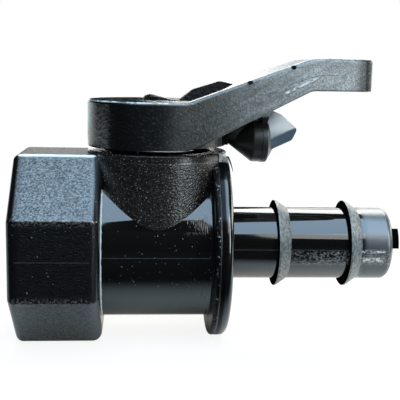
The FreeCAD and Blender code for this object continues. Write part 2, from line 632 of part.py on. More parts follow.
def hub_pocket():
    """The ring-shaped hollow under the hub, less its ribs."""
    heights = (HUB_BOTTOM_HEIGHT - OVERLAP, HUB_TOP_HEIGHT - HUB_TOP_SKIN)
    hollow = cylinder_z(*heights, HUB_RADIUS - HUB_WALL).cut(cylinder_z(*heights, HUB_BOSS_RADIUS))
    for i in range(HUB_RIB_COUNT):
        rib = box((BALL_X, BALL_X + BIG), (-HUB_RIB_THICKNESS / 2, HUB_RIB_THICKNESS / 2), (0, BIG))
        rib.rotate(Vector(BALL_X, 0, 0), Vector(0, 0, 1), 360.0 * (i + 0.5) / HUB_RIB_COUNT)
        hollow = hollow.cut(rib)
    return hollow


def hub_skirt():
    """The round wall under the hub, which goes on where the arm's underside has risen."""
    heights = (HUB_BOTTOM_HEIGHT + HUB_SKIRT_RISE, HUB_TOP_HEIGHT - HUB_TOP_SKIN)
    return cylinder_z(*heights, HUB_SKIRT_RADIUS).cut(cylinder_z(*heights, HUB_RADIUS - HUB_WALL))


def top_pocket():
    """The flat hub top runs on into the rising arm, between two rims."""
    plan = lever_plan(TOP_POCKET_RIM, HUB_TOP_HEIGHT, BIG)
    return plan.common(cylinder_z(HUB_TOP_HEIGHT, BIG, TOP_POCKET_RADIUS))


def top_rib():
    """The rib that stands in the middle of the top pocket, from the stem's head up to the arm."""
    floor = HUB_TOP_HEIGHT - OVERLAP
    side = rounded_wire(
        [
            (TOP_RIB_START, floor, 0),
            (TOP_RIB_START, HUB_TOP_HEIGHT, 0),
            (TOP_RIB_START + TOP_RIB_SHOULDER_RUN, HUB_TOP_HEIGHT + TOP_RIB_SHOULDER_RISE, TOP_RIB_ROUND),
            (TOP_RIB_START + TOP_RIB_CREST_RUN, HUB_TOP_HEIGHT + TOP_RIB_CREST_RISE, TOP_RIB_ROUND),
            (TOP_POCKET_RADIUS + OVERLAP, HUB_TOP_HEIGHT + TOP_RIB_END_RISE, 0),
            (TOP_POCKET_RADIUS + OVERLAP, floor, 0),
        ],
        lambda a, b: Vector(BALL_X + a, -TOP_RIB_THICKNESS / 2, b),
    )
    return Part.Face(side).extrude(Vector(0, TOP_RIB_THICKNESS, 0))


def lug():
    """The finger lug: a flare, a collar and a domed back with the nose, hung from the arm by a web."""
    collar_radius = LUG_RADIUS + LUG_COLLAR_PROUD
    round_part = revolve_x([
        (LUG_START, 0),
        (LUG_START, LUG_START_RADIUS),
        (LUG_FLARE_END, LUG_RADIUS, LUG_FLARE_ROUND),
        (LUG_COLLAR_START, LUG_RADIUS),
        (LUG_COLLAR_START + LUG_COLLAR_FOOT, collar_radius),
        (LUG_BACK, collar_radius, LUG_COLLAR_ROUND),
        (LUG_BACK + LUG_DOME, LUG_DOME_RADIUS, LUG_DOME_RADIUS),
        (LUG_BACK + LUG_DOME, 0),
    ])
    round_part.translate(Vector(BALL_X, 0, LUG_AXIS_HEIGHT))
    half_web = LUG_WEB_THICKNESS / 2
    web = box((BALL_X + LUG_START, BALL_X + LUG_BACK), (-half_web, half_web), (LUG_AXIS_HEIGHT, BIG))
    root = box(
        (BALL_X + HUB_SKIRT_RADIUS - OVERLAP, BALL_X + LUG_START + LUG_FLARE_ROUND),
        (-half_web, half_web),
        (HUB_BOTTOM_HEIGHT + LUG_ROOT_RISE, BIG),
    )
    room = lever_profile(LEVER_SKIN / 2, HUB_BOTTOM_HEIGHT).extrude(Vector(0, 2 * BIG, 0))
    web = web.fuse(root).common(room)
    return round_part.fuse(web).fuse(nose()).removeSplitter()


def nose():
    """The tongue behind the collar: a tapered ridge along a rising axis, trimmed to its side view."""
    outlines = [
        nose_outline(0, LUG_NOSE_KEEL_HALF_WIDTH),
        nose_outline(LUG_NOSE_EDGE_RISE, LUG_NOSE_EDGE_HALF_WIDTH),
        nose_outline(LUG_NOSE_RIDGE_RISE, LUG_NOSE_RIDGE_HALF_WIDTH),
    ]
    ridge = Part.makeLoft(outlines, True, True)
    ridge.rotate(Vector(0, 0, 0), Vector(0, 1, 0), -LUG_NOSE_PITCH_DEG)
    ridge.translate(Vector(BALL_X + LUG_BACK, 0, LUG_AXIS_HEIGHT + LUG_NOSE_KEEL))
    side = rounded_wire(
        [
            (LUG_COLLAR_START, LUG_NOSE_TOP, 0),
            (LUG_COLLAR_START, LUG_NOSE_KEEL - OVERLAP, 0),
            (LUG_BACK, LUG_NOSE_KEEL, 0),
            (LUG_BACK + LUG_NOSE_UNDER_RUN, LUG_NOSE_UNDER_RISE, LUG_NOSE_ROUND),
            (LUG_BACK + LUG_NOSE_TIP_RUN, LUG_NOSE_TIP_RISE, LUG_NOSE_ROUND),
            (LUG_BACK + LUG_NOSE_SHOULDER_RUN, LUG_NOSE_SHOULDER_RISE, LUG_NOSE_ROUND),
            (LUG_BACK, LUG_NOSE_TOP, 0),
        ],
        lambda a, b: Vector(BALL_X + a, -BIG, LUG_AXIS_HEIGHT + b),
    )
    return ridge.common(Part.Face(side).extrude(Vector(0, 2 * BIG, 0)))


def nose_outline(level, half_width):
    """The plan of the nose at a level above its keel, before the nose is pitched up."""
    tip_half_width = half_width * LUG_NOSE_TAPER
    return rounded_wire(
        [
            (-OVERLAP, -half_width, 0),
            (LUG_NOSE_LENGTH, -tip_half_width, LUG_NOSE_TIP_ROUND),
            (LUG_NOSE_LENGTH, tip_half_width, LUG_NOSE_TIP_ROUND),
            (-OVERLAP, half_width, 0),
        ],
        lambda a, b: Vector(a, b, level),
    )


def handle():
    """The lever, hollow underneath, with the finger lug and the stop tab moulded on."""
    solid = lever_solid().cut(hub_pocket()).cut(under_pocket()).fuse(hub_skirt()).fuse(lug())
    solid = solid.cut(top_pocket()).fuse(top_rib())
    tab_reach = (
        TOWER_GROOVE_INNER_RADIUS + GROOVE_FIT,
        TOWER_GROOVE_OUTER_RADIUS - GROOVE_FIT,
    )
    tab_heights = (HUB_BOTTOM_HEIGHT - STOP_TAB_DEPTH, HUB_TOP_HEIGHT - HUB_TOP_SKIN + OVERLAP)
    solid = solid.fuse(ring_sector(*tab_reach, tab_heights, STOP_TAB_CENTRE_DEG, STOP_TAB_SPAN_DEG))
    half_drive = DRIVE_SIDE / 2 + DRIVE_FIT
    drive = box(
        (BALL_X - half_drive, BALL_X + half_drive),
        (-half_drive, half_drive),
        (0, DRIVE_TOP_HEIGHT + DRIVE_FIT),
    )
    neck_hole = cylinder_z(0, HUB_TOP_HEIGHT + OVERLAP, SNAP_NECK_RADIUS + DRIVE_FIT)
    recess = cylinder_z(STEM_HEAD_SEAT_HEIGHT, HUB_TOP_HEIGHT + OVERLAP, STEM_HEAD_RECESS_RADIUS)
    return solid.cut(drive).cut(neck_hole).cut(recess).removeSplitter()


def pieces():
    found = {
        "body": body(),
        "hose_tail": hose_tail(),
        "ball": ball(),
        "inlet_seat": seat(-1),
        "outlet_seat": seat(1),
        "inlet_gasket": gasket(),
        "stem": stem(),
        "handle": handle(),
    }
    for height, name in zip(oring_heights(), ("lower", "upper")):
        found[f"stem_oring_{name}"] = oring(height)
    return found


def main():
    os.makedirs("parts", exist_ok=True)
    for name, shape in pieces().items():
        assert shape.isValid(), f"{name} isn't a valid shape"
        print(f"{name:18s} {len(shape.Solids)} solid, {shape.Volume:9.1f} mm3")
        shape.exportStep(f"parts/{name}.step")


if __name__ == "__main__":
    main()
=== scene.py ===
import math

import bmesh
import bpy
from mathutils import Matrix, Vector, noise

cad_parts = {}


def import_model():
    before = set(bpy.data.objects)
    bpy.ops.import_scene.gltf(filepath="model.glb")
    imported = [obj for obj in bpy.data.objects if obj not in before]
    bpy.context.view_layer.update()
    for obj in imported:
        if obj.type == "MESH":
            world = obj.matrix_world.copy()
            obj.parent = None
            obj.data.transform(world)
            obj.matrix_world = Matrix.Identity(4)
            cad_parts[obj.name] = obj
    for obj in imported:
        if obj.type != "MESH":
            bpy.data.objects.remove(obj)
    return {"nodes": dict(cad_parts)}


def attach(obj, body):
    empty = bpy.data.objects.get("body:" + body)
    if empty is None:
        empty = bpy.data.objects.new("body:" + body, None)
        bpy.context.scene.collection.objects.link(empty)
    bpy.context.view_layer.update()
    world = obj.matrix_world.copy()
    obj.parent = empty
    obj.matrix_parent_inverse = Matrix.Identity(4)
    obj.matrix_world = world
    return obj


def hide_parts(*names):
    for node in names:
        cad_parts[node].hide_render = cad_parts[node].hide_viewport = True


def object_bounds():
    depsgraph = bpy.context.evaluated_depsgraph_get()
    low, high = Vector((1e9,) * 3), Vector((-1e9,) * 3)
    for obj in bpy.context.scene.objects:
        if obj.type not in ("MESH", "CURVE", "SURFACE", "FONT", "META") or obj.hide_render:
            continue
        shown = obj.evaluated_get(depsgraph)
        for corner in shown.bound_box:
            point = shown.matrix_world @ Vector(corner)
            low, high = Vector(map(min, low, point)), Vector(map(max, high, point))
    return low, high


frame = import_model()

MM = 0.001
CAD_LOW, CAD_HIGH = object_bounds()

# Sizes that the dressing shares with the solids, in metres
SOCKET_HALF = 15.6 * MM
SOCKET_LENGTH = 14.2 * MM
SOCKET_BACK_ROUND = 1.5 * MM
SOCKET_MOUTH_ROUND = 1.3 * MM
THREAD_ROOT_RADIUS = 13.22 * MM
THREAD_CREST_RADIUS = 12.06 * MM
THREAD_PITCH = 1.814 * MM
THREAD_START = 1.3 * MM
THREAD_END = 9.9 * MM
BARREL_RADIUS = 12.5 * MM
FLANGE_RADIUS = 15.9 * MM
BODY_FLANGE_X = 32.15 * MM
JOINT_X = 33.0 * MM
TAIL_ROOT_X = 35.05 * MM
TAIL_RADIUS = 6.2 * MM
BARB_STARTS = (43.65 * MM, 55.85 * MM)
BARB_WIDTH = 2.15 * MM
GATE_MARK_HEIGHT = 0.80 * MM
STEM_X = 23.2 * MM
TOWER_RADIUS = 11.7 * MM
TOWER_TOP = 16.12 * MM
HUB_BOTTOM = 16.72 * MM
HUB_TOP = 24.45 * MM
LUG_BACK = 41.7 * MM
LUG_AXIS = 18.0 * MM
LUG_RIM_RADIUS = 3.85 * MM
LUG_DOME_SLOPE = 1.8

# Marks on the lever, as the photograph shows them
ARM_PITCH = 25.0  # degrees
# The grip's paleness is partly wear and partly a painted sheen
GRIP_END = (54.6 * MM, 57.0 * MM)  # where the worn grip fades out
DRAG_MARK = (46.2 * MM, 27.4 * MM)  # x and z of the middle of a pale mark on the arm's side
NICK_RADIUS = 0.5 * MM
NICKS = (Vector((37.6, -8.9, 27.75)) * MM, Vector((44.8, -7.4, 30.3)) * MM)
WITNESS_LINE = (  # x, y and z in millimetres
    (39.6, 8.50, 26.0), (41.7, 8.05, 26.5), (43.9, 7.58, 27.6), (45.9, 7.17, 28.15),
    (47.9, 6.75, 28.75), (49.3, 6.45, 29.1), (51.9, 5.90, 29.2), (54.0, 5.46, 29.15),
)

# The photograph's camera, found by fitting the outlines. Its angles are in degrees
CAMERA_TARGET = Vector((31.946, 0, 7.355)) * MM
CAMERA_DISTANCE = 138.125 * MM
CAMERA_AZIMUTH = -5.06
CAMERA_ELEVATION = 9.221
CAMERA_ROLL = 1.317
CAMERA_LENS = 71.95
CAMERA_SHIFT = (-0.01794, 0.00084)


# Node trees

class Shader:
    """A plastic's node tree. Its calls return sockets, in the part's own coordinates."""

    def __init__(self, name, colour, roughness, ior):
        self.material = bpy.data.materials.new(name)
        self.material.use_nodes = True
        self.tree = self.material.node_tree
        self.surface = self.tree.nodes["Principled BSDF"]
        self.surface.inputs["Base Color"].default_value = (*colour, 1)
        self.surface.inputs["Roughness"].default_value = roughness
        self.surface.inputs["IOR"].default_value = ior
        self.place = self.tree.nodes.new("ShaderNodeTexCoord").outputs["Object"]
        split = self.tree.nodes.new("ShaderNodeSeparateXYZ")
        self.tree.links.new(self.place, split.inputs[0])
        self.x, self.y, self.z = split.outputs

    def put(self, socket, value):
        if isinstance(value, bpy.types.NodeSocket):
            self.tree.links.new(value, socket)
        else:
            socket.default_value = value

    def math(self, operation, a, b=0.0, clamp=False):
        node = self.tree.nodes.new("ShaderNodeMath")
        node.operation = operation
        node.use_clamp = clamp
        self.put(node.inputs[0], a)
        self.put(node.inputs[1], b)
        return node.outputs[0]

    def times(self, *factors):
        product = factors[0]
        for factor in factors[1:]:
            product = self.math("MULTIPLY", product, factor)
        return product

    def most(self, a, b):
        return self.math("MAXIMUM", a, b)

    def distance(self, a, b):
        """How far a point is from an axis, from its two coordinates across that axis."""
        return self.math("SQRT", self.math("ADD", self.times(a, a), self.times(b, b)))

    def stretched(self, scale, pitch):
        """The part's coordinates, turned about Y by a pitch in degrees and then scaled."""
        node = self.tree.nodes.new("ShaderNodeMapping")
        node.vector_type = "TEXTURE"
        node.inputs["Rotation"].default_value = (0, -math.radians(pitch), 0)
        node.inputs["Scale"].default_value = [1 / factor for factor in scale]
        self.tree.links.new(self.place, node.inputs["Vector"])
        return node.outputs[0]

    def noise(self, size, detail=2.0, scale=(1, 1, 1), seed=0.0, pitch=0.0):
        """Noise between 0 and 1, whose features are about size metres across."""
        node = self.tree.nodes.new("ShaderNodeTexNoise")
        node.noise_dimensions = "4D"
        node.inputs["W"].default_value = seed
        node.inputs["Scale"].default_value = 0.5 / size
        node.inputs["Detail"].default_value = detail
        self.tree.links.new(self.stretched(scale, pitch), node.inputs["Vector"])
        return node.outputs["Fac"]

    def ramp(self, value, low, high, out_low=0.0, out_high=1.0):
        """A smooth step from out_low, where the value is low, to out_high, where it is high."""
        node = self.tree.nodes.new("ShaderNodeMapRange")
        node.interpolation_type = "SMOOTHSTEP"
        self.put(node.inputs["Value"], value)
        limits = {"From Min": low, "From Max": high, "To Min": out_low, "To Max": out_high}
        for name, number in limits.items():
            node.inputs[name].default_value = number
        return node.outputs[0]

    def band(self, value, low, high, soft):
        """1 between low and high, falling to 0 over a soft border."""
        rise = self.ramp(value, low - soft, low + soft)
        fall = self.ramp(value, high - soft, high + soft, 1.0, 0.0)
        return self.times(rise, fall)

    def mix_colour(self, factor, a, b):
        node = self.tree.nodes.new("ShaderNodeMix")
        node.data_type = "RGBA"
        self.put(node.inputs["Factor"], factor)
        for name, colour in (("A", a), ("B", b)):
            socket = [i for i in node.inputs if i.name == name and i.type == "RGBA"][0]
            if isinstance(colour, bpy.types.NodeSocket):
                self.tree.links.new(colour, socket)
            else:
                socket.default_value = (*colour, 1)
        return [o for o in node.outputs if o.type == "RGBA"][0]

    def bump(self, height, depth):
        """Adds a relief, depth metres from its lowest to its highest point, over any that is there."""
        node = self.tree.nodes.new("ShaderNodeBump")
        node.inputs["Strength"].default_value = 1.0
        node.inputs["Distance"].default_value = depth
        self.tree.links.new(height, node.inputs["Height"])
        before = self.surface.inputs["Normal"]
        if before.is_linked:
            self.tree.links.new(before.links[0].from_socket, node.inputs["Normal"])
        self.tree.links.new(node.outputs[0], before)

    def spot(self, centre, radius):
        """1 at a point of the part and 0 beyond a radius from it."""
        node = self.tree.nodes.new("ShaderNodeVectorMath")
        node.operation = "DISTANCE"
        self.tree.links.new(self.place, node.inputs[0])
        node.inputs[1].default_value = centre
        return self.ramp(node.outputs["Value"], 0.5 * radius, radius, 1.0, 0.0)

    def colour(self, socket):
        self.put(self.surface.inputs["Base Color"], socket)

    def roughness(self, socket):
        self.put(self.surface.inputs["Roughness"], socket)

    def gloss(self, value):
        """How much of the plain specular reflection is left: 0.5 leaves it as it is."""
        self.put(self.surface.inputs["Specular IOR Level"], value)


# Plastics

# Colours of the outside, from dark to pale: the plastic, what dust, wear and handling make of it, and
# painted shade, glints, sheen, reflections and highlights
UNLIT = (0.002, 0.002, 0.002)
BLACK = (0.0040, 0.0037, 0.0033)
SOOT = (0.008, 0.0062, 0.0040)
BROWNISH = (0.013, 0.012, 0.011)
FLASH = (0.02, 0.021, 0.022)
GREENISH = (0.030, 0.034, 0.029)
PAINTED_END_SHEEN = (0.050, 0.058, 0.062)
BARB_DARK = (0.060, 0.066, 0.062)
SKY_REFLECTION_BLUE = (0.09, 0.13, 0.165)
BARB = (0.13, 0.135, 0.13)
BARB_PALE = (0.20, 0.205, 0.195)
PALE_DUST_AND_GLINT = (0.24, 0.22, 0.20)
WEAR_AND_SHEEN_GREY = (0.29, 0.31, 0.295)
PAINTED_CAP_HIGHLIGHT = (0.42, 0.42, 0.40)
DRAGGED = (0.72, 0.74, 0.72)
PAINTED_END_HIGHLIGHT = (0.75, 0.73, 0.68)
PAINTED_RIM_HIGHLIGHT = (0.80, 0.80, 0.78)
PAINTED_EDGE_WHITE = (0.85, 0.85, 0.80)

# Colours of the inner pieces and of the floor
RUBBER = (0.02, 0.02, 0.02)
BALL = (0.02, 0.02, 0.022)
SEAT = (0.75, 0.75, 0.71)
FLOOR_DARK = (0.02, 0.02, 0.02)
FLOOR_PALE = (0.84, 0.79, 0.72)

PLASTIC_IOR = 1.80
DULL_IOR = 1.45


def with_waves(shader, size, depth):
    """The faint unevenness that a moulded skin has."""
    shader.bump(shader.noise(size, 1.0, seed=3.0), depth)


def with_specks(shader, size, share, mask=None):
    """Pale specks of dust and scuffs. A larger share gives more of them."""
    dots = shader.ramp(shader.noise(size, 0.0, seed=11.0), 1 - share, 1 - share + 0.03)
    if mask is not None:
        dots = shader.times(dots, mask)
    shader.colour(shader.mix_colour(dots, BLACK, PALE_DUST_AND_GLINT))


def glossy_plastic():
    """The barrel's skin, dragged beside the tower."""
    shader = Shader("glossy black plastic", BLACK, 0.12, PLASTIC_IOR)
    with_specks(shader, 0.12 * MM, 0.21)
    with_waves(shader, 2.4 * MM, 0.012 * MM)
    streaks = shader.noise(0.25 * MM, 1.0, (3.0, 0.4, 0.4), 5.0)
    beside_tower = shader.band(shader.x, 27.5 * MM, 31.0 * MM, 0.8 * MM)
    shader.bump(shader.times(streaks, beside_tower), 0.06 * MM)
    return shader.material


def socket_plastic():
    """The socket's eroded grain stops short of its two ends, which are smooth."""
    shader = Shader("grained black plastic", BLACK, 0.25, PLASTIC_IOR)
    from_axis = shader.distance(shader.y, shader.z)

    at_edge = shader.ramp(from_axis, 16.45 * MM, 16.8 * MM)
    rubbed = shader.times(at_edge, shader.ramp(shader.noise(0.2 * MM, 2.0, seed=13.0), 0.45, 0.6))
    # Pale dots: painted glints of the grain; the rubbed pale edges are wear
    dots = shader.ramp(shader.noise(0.14 * MM, 0.0, seed=11.0), 0.80, 0.83)
    glints_and_wear = shader.mix_colour(shader.most(dots, shader.times(rubbed, 0.35)), BLACK, PALE_DUST_AND_GLINT)
    # Painted highlight: the socket's two top edges are coloured near-white
    outermost = shader.ramp(from_axis, 16.68 * MM, 16.8 * MM)
    top_edge_highlight = shader.times(outermost, shader.ramp(shader.z, 14.8 * MM, 15.2 * MM))
    shader.colour(shader.mix_colour(top_edge_highlight, glints_and_wear, PAINTED_EDGE_WHITE))

    grain = shader.noise(0.17 * MM, 3.0, (1.0, 1.2, 1.2), 1.0)
    grained = shader.band(shader.x, 1.4 * MM, 12.9 * MM, 0.9 * MM)
    shader.bump(shader.times(grain, grained), 0.13 * MM)

    pits = shader.ramp(shader.noise(0.15 * MM, 2.0, seed=14.0), 0.32, 0.66, 0.30, 0.86)
    smooth_ends = shader.ramp(shader.x, 1 * MM, 13 * MM, 0.12, 0.68)
    smooth_ends = shader.times(smooth_ends, shader.math("SUBTRACT", 1.0, grained))
    sheen = shader.math("ADD", shader.times(pits, grained), smooth_ends)
    on_top = shader.ramp(shader.z, 15.3 * MM, 15.5 * MM)
    shader.gloss(shader.times(sheen, shader.ramp(on_top, 0.0, 1.0, 1.0, 0.03)))
    shader.roughness(shader.ramp(on_top, 0.0, 1.0, 0.24, 0.5))
    with_waves(shader, 3.0 * MM, 0.02 * MM)
    return shader.material


def tower_plastic():
    """Coarser grain with a sparkle, partly painted as pale dots over faint dust, and a smooth band at
    the tower's top.
    """
    shader = Shader("sparkling black plastic", BLACK, 0.26, PLASTIC_IOR)
    # Painted glints: pale dots for the grain's sparkle, over a faint mottle of dust
    dots = shader.ramp(shader.noise(0.11 * MM, 0.0, seed=11.0), 0.71, 0.75)
    dust = shader.ramp(shader.noise(0.20 * MM, 1.0, seed=17.0), 0.45, 0.75, 0.0, 0.12)
    shader.colour(shader.mix_colour(shader.most(dots, dust), SOOT, PALE_DUST_AND_GLINT))
    shader.gloss(shader.ramp(shader.z, TOWER_TOP - 0.5 * MM, TOWER_TOP - 0.3 * MM, 0.5, 0.1))
    grain = shader.noise(0.16 * MM, 3.0, seed=2.0)
    below_rim = shader.ramp(shader.z, 14.7 * MM, 15.0 * MM, 1.0, 0.2)
    shader.bump(shader.times(grain, below_rim), 0.10 * MM)
    return shader.material


def flange_plastic():
    """The tail's half of the flange. One corner of its cap is painted pale as a highlight."""
    shader = Shader("flange plastic", BLACK, 0.15, PLASTIC_IOR)
    # Painted highlight on one corner of the cap
    high = shader.band(shader.z, 14.6 * MM, 16.1 * MM, 0.1 * MM)
    corner = shader.times(high, shader.band(shader.y, -6.0 * MM, -2.0 * MM, 0.2 * MM))
    ragged = shader.ramp(shader.noise(0.3 * MM, 2.0, seed=15.0), 0.3, 0.5)
    shader.colour(shader.mix_colour(shader.times(corner, ragged), BLACK, PAINTED_CAP_HIGHLIGHT))
    shader.gloss(shader.ramp(shader.x, 33.6 * MM, 34.0 * MM, 0.06, 0.5))
    with_waves(shader, 2.0 * MM, 0.02 * MM)
    return shader.material


def weld_plastic():
    """The body's half of the flange, dulled and speckled by the weld."""
    shader = Shader("welded plastic", BLACK, 0.34, 1.30)
    shader.gloss(0.25)
    with_specks(shader, 0.18 * MM, 0.34, shader.ramp(shader.x, 32.2 * MM, 32.6 * MM))
    shader.bump(shader.noise(0.3 * MM, 2.0), 0.2 * MM)
    return shader.material


def tail_plastic():
    """Glossy, with a scuffed band below the parting line whose sparkle is painted as pale dots, a
    rougher end painted paler as a sheen, and two rows of painted highlights near the end.
    """
    shader = Shader("hose tail plastic", BLACK, 0.07, PLASTIC_IOR)
    below_parting = shader.band(shader.z, -2.6 * MM, -0.2 * MM, 0.3 * MM)
    scuffed = shader.times(below_parting, shader.ramp(shader.x, 44.0 * MM, 46.5 * MM))
    at_end = shader.ramp(shader.x, 57.8 * MM, 59.2 * MM)

    # Painted sparkle in the scuffed band, and a painted sheen that makes the end paler
    dots = shader.ramp(shader.noise(0.12 * MM, 1.0, (0.7, 1, 1), 11.0), 0.44, 0.64)
    paler = shader.ramp(shader.x, 46.0 * MM, 54.0 * MM, 0.45, 1.0)
    dots = shader.times(dots, shader.times(scuffed, paler))
    painted_sparkle_and_sheen = shader.mix_colour(dots, shader.mix_colour(at_end, BLACK, PAINTED_END_SHEEN), PALE_DUST_AND_GLINT)

    # Painted highlights: two ragged pale rows near the end
    upper_row = shader.band(shader.z, -0.5 * MM, 0.05 * MM, 0.15 * MM)
    lower_row = shader.band(shader.z, -2.1 * MM, -1.35 * MM, 0.2 * MM)
    along = shader.band(shader.x, 58.0 * MM, 62.0 * MM, 0.4 * MM)
    ragged = shader.ramp(shader.noise(0.22 * MM, 2.0, seed=18.0), 0.42, 0.56)
    end_highlights = shader.times(shader.most(upper_row, lower_row), along, ragged)
    shader.colour(shader.mix_colour(end_highlights, painted_sparkle_and_sheen, PAINTED_END_HIGHLIGHT))

    end_gloss = shader.times(at_end, shader.ramp(shader.z, -3.6 * MM, -0.6 * MM, 0.30, 0.75))
    shader.gloss(shader.math("ADD", end_gloss, shader.ramp(at_end, 0.0, 1.0, 0.5, 0.0)))
    shader.roughness(shader.ramp(at_end, 0.0, 1.0, 0.07, 0.34))
    shader.bump(shader.times(shader.noise(0.18 * MM, 2.0, seed=16.0), scuffed), 0.09 * MM)
    with_waves(shader, 2.2 * MM, 0.012 * MM)
    return shader.material


def barb_plastic():
    """Pale grey with a random mottle, which paints the reflection of a bright wall on the barbs."""
    shader = Shader("barb plastic", BARB, 0.40, PLASTIC_IOR)
    mottle = shader.ramp(shader.noise(0.17 * MM, 1.0, (1.0, 0.6, 0.6), 23.0), 0.36, 0.64)
    shader.colour(shader.mix_colour(mottle, BARB_DARK, BARB_PALE))
    shader.bump(shader.noise(0.2 * MM, 2.0), 0.08 * MM)
    return shader.material


def fine_plastic():
    """The skin of the parting lines and of the weld's flash."""
    shader = Shader("flash plastic", FLASH, 0.3, PLASTIC_IOR)
    shader.bump(shader.noise(0.2 * MM, 2.0), 0.06 * MM)
    return shader.material


def root_highlight_plastic():
    """A pale colour that paints a highlight."""
    shader = Shader("painted highlight ring", PAINTED_RIM_HIGHLIGHT, 0.35, PLASTIC_IOR)
    with_waves(shader, 0.2 * MM, 0.02 * MM)
    return shader.material


def nick_mask(shader):
    """1 in the two nicks of the arm's upper edge, with a ragged border."""
    nicks = [shader.spot(at, NICK_RADIUS) for at in NICKS]
    ragged = shader.ramp(shader.noise(0.25 * MM, 1.0, seed=19.0), 0.3, 0.6, 0.4, 1.3)
    return shader.math("MULTIPLY", shader.most(*nicks), ragged, clamp=True)


def arm_wear_and_sheen_mask(shader, nicked):
    """How pale the arm is, partly from wear and partly as a painted sheen of its matt grip: most at the
    grip, in fine frost and in drag lines.
    """
    before_end = shader.ramp(shader.x, *GRIP_END, 1.0, 0.15)
    grip = shader.times(shader.ramp(shader.x, 27 * MM, 47 * MM), before_end)
    by_hub = shader.ramp(shader.x, 22 * MM, 28 * MM, 0.0, 0.12)
    between_nicks = shader.ramp(nicked, 0.1, 0.6, 1.0, 0.0)
    frost = shader.noise(0.14 * MM, 1.0, (0.7, 1, 1), 8.0, ARM_PITCH)
    drag = shader.noise(0.35 * MM, 2.0, (0.05, 1, 1), 9.0, ARM_PITCH)
    patches = shader.times(
        shader.ramp(frost, 0.35, 0.65, 0.45, 1.0), shader.ramp(drag, 0.35, 0.65, 0.50, 1.05)
    )
    return shader.times(shader.times(shader.most(grip, by_hub), between_nicks), patches)


def drag_mark(shader):
    """1 along a broken pale mark on the arm's side."""
    pitch = math.radians(ARM_PITCH)
    x, z = DRAG_MARK
    rise = shader.times(shader.z, math.cos(pitch))
    across = shader.math("SUBTRACT", rise, shader.times(shader.x, math.sin(pitch)))
    middle = z * math.cos(pitch) - x * math.sin(pitch)
    mark = shader.band(across, middle - 0.16 * MM, middle + 0.16 * MM, 0.10 * MM)
    along = shader.band(shader.x, x - 3.0 * MM, x + 2.6 * MM, 0.8 * MM)
    broken = shader.ramp(shader.noise(0.16 * MM, 1.0, (0.5, 1, 1), 22.0), 0.40, 0.56)
    return shader.times(mark, along, broken)


def hub_rim_highlights(shader, on_hub):
    """1 along the painted highlights on the rims at the hub's foot and round its top."""
    lower = shader.band(shader.z, HUB_BOTTOM - 0.1 * MM, HUB_BOTTOM + 0.2 * MM, 0.05 * MM)
    lower = shader.times(lower, shader.ramp(shader.x, 20.0 * MM, 24.0 * MM))
    upper = shader.band(shader.z, HUB_TOP - 0.24 * MM, HUB_TOP - 0.06 * MM, 0.04 * MM)
    return shader.most(lower, shader.times(upper, on_hub))


def handle_plastic():
    """Satin, with a mottled hub top, drag lines along the arm, a grip paled by wear and by a painted
    sheen, painted highlights on the hub's rims, and two nicks.
    """
    shader = Shader("satin black plastic", BLACK, 0.28, PLASTIC_IOR)
    on_hub = shader.ramp(shader.x, STEM_X + 4 * MM, STEM_X + 6 * MM, 1.0, 0.0)
    hub_top = shader.times(shader.ramp(shader.z, HUB_TOP - 0.3 * MM, HUB_TOP - 0.05 * MM), on_hub)
    blots = shader.noise(0.4 * MM, 2.0, (1.0, 0.5, 1.0), 9.0)
    pale_blots = shader.times(shader.ramp(blots, 0.42, 0.60), hub_top)
    nicked = nick_mask(shader)

    shader.bump(shader.noise(0.16 * MM, 3.0, seed=4.0), 0.035 * MM)
    shader.bump(shader.noise(0.30 * MM, 0.0, (0.05, 1.0, 1.0), 6.0, ARM_PITCH), 0.03 * MM)
    with_waves(shader, 3.0 * MM, 0.06 * MM)
    shader.bump(shader.times(blots, hub_top), 0.20 * MM)
    shader.bump(shader.math("SUBTRACT", 1.0, nicked), 0.3 * MM)

    to_arm = shader.ramp(shader.x, 15 * MM, 22 * MM)
    satin = shader.most(shader.ramp(to_arm, 0.0, 1.0, 0.17, 0.30), shader.times(hub_top, 0.5))
    shader.roughness(shader.most(satin, shader.times(nicked, 0.9)))

    shiny_blots = shader.times(pale_blots, shader.ramp(shader.x, 19 * MM, 25 * MM))
    dull_top = shader.times(hub_top, shader.ramp(shiny_blots, 0.0, 1.0, 1.0, 0.6))
    dull_tip = shader.ramp(shader.x, *GRIP_END, 0.0, 0.6)
    dull = shader.most(shader.most(nicked, dull_top), dull_tip)
    shader.gloss(shader.ramp(dull, 0.2, 1.0, 0.5, 0.0))

    # Pale grip: partly wear, partly a painted sheen
    pale_wear_and_sheen = shader.mix_colour(arm_wear_and_sheen_mask(shader, nicked), BLACK, WEAR_AND_SHEEN_GREY)
    specks = shader.ramp(shader.noise(0.12 * MM, 0.0, seed=21.0), 0.66, 0.72)
    specks = shader.times(specks, shader.ramp(shader.x, 16 * MM, 30 * MM, 0.05, 0.38))
    marked = shader.mix_colour(drag_mark(shader), shader.mix_colour(specks, pale_wear_and_sheen, PALE_DUST_AND_GLINT), DRAGGED)
    # Painted highlights along the hub's rims
    with_rim_highlights = shader.mix_colour(hub_rim_highlights(shader, on_hub), marked, PAINTED_RIM_HIGHLIGHT)
    shader.colour(shader.mix_colour(pale_blots, with_rim_highlights, GREENISH))
    return shader.material


